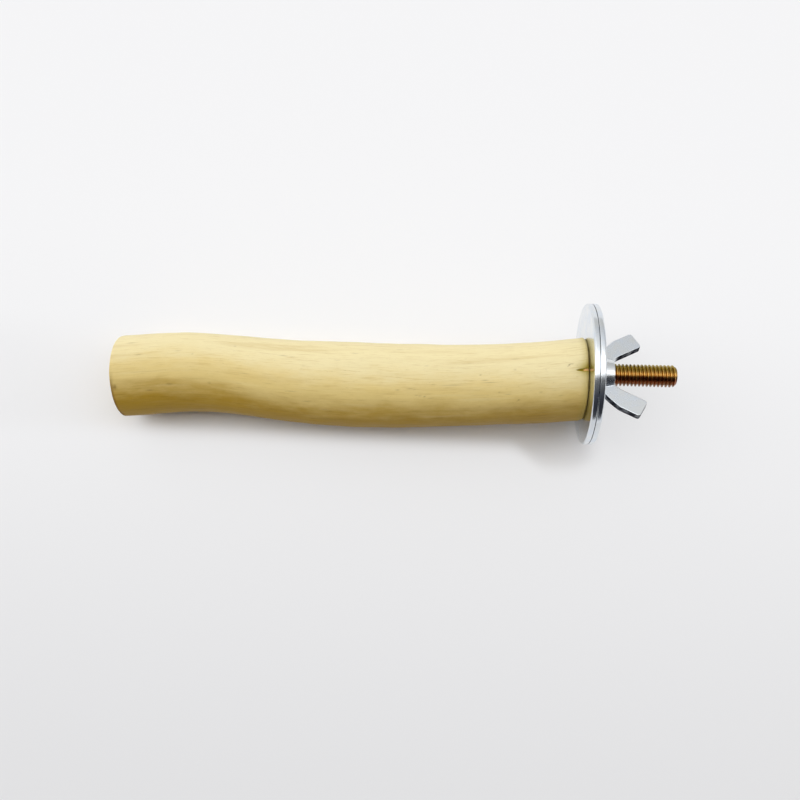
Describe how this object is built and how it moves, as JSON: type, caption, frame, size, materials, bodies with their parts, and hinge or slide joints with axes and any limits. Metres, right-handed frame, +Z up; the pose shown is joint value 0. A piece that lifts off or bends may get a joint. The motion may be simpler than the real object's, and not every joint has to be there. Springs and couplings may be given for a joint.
{
  "type": "bird perch",
  "caption": "Gently curved peeled branch on a hanger bolt, with wide washers and a wing nut that clamp it to a cage's bars.",
  "frame": {"origin": "on the bolt's axis, in the plane where the two washers' faces meet, which is where the cage's bars are clamped", "axes": "+X along the bolt from the branch towards its free end; the branch lies along -X and curves in the XY plane; +Z is up when the perch is in use"},
  "size_m": [0.1519, 0.038, 0.038],
  "materials": {
    "peeled_wood": "smooth peeled wood, satin",
    "yellow_zinc": "yellow chromated zinc, rolled thread",
    "inner_zinc": "bright zinc plate",
    "outer_zinc": "bright zinc plate",
    "nut_zinc": "bright zinc plate on a stamped nut"
  },
  "bodies": {
    "root": {"branch": "peeled_wood", "hanger_bolt": "yellow_zinc"},
    "inner_washer": {"inner_washer": "inner_zinc"},
    "outer_washer": {"outer_washer": "outer_zinc"},
    "wing_nut": {"wing_nut": "nut_zinc"}
  },
  "joints": [
    {"name": "inner_washer_spin", "type": "hinge", "parent": "root", "child": "inner_washer", "pos_m": [0, 0, 0], "axis": [1, 0, 0], "continuous": true},
    {"name": "outer_washer_slide", "type": "slide", "parent": "root", "child": "outer_washer", "axis": [1, 0, 0], "range_m": [0, 0.0201]},
    {"name": "wing_nut_turn", "type": "hinge", "parent": "outer_washer", "child": "wing_nut", "pos_m": [0, 0, 0], "axis": [1, 0, 0], "range_deg": [0, 7200]}
  ],
  "couplings": [
    {"joint": "outer_washer_slide", "follows": "wing_nut_turn", "m_per_rad": 0.00015915}
  ]
}
